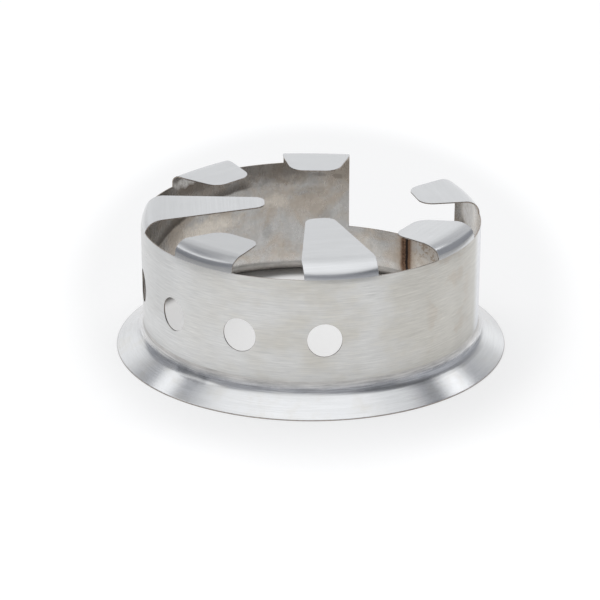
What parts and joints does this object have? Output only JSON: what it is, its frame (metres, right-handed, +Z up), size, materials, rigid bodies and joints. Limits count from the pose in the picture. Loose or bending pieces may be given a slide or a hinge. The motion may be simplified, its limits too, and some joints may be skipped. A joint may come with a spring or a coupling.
{
  "type": "twig stove",
  "caption": "Camp twig stove: a sheet steel ring with a flared foot, fuel mouth, air holes and folded tabs that carry a pot.",
  "frame": {"origin": "centre of the ring on the ground, level with the foot's lower edge", "axes": "+Z up along the ring's axis, -Y towards the fuel mouth, +X to the right seen from the mouth"},
  "size_m": [0.185, 0.185, 0.0702],
  "materials": {
    "wall_steel": "brushed round the ring, slightly mottled",
    "foot_steel": "bright, spun and brushed round the ring",
    "tab_steel": "satin, fine straight grain",
    "weld_steel": "heat tinted brown to black"
  },
  "bodies": {
    "root": {"wall_band": "wall_steel", "foot_flange": "foot_steel", "seam_weld": "weld_steel", "short_tab_front_right": "tab_steel", "short_tab_right": "tab_steel", "long_tab_rear_right": "tab_steel", "short_tab_rear": "tab_steel", "long_tab_rear_left": "tab_steel", "short_tab_left": "tab_steel", "short_tab_front_left": "tab_steel"}
  },
  "joints": []
}
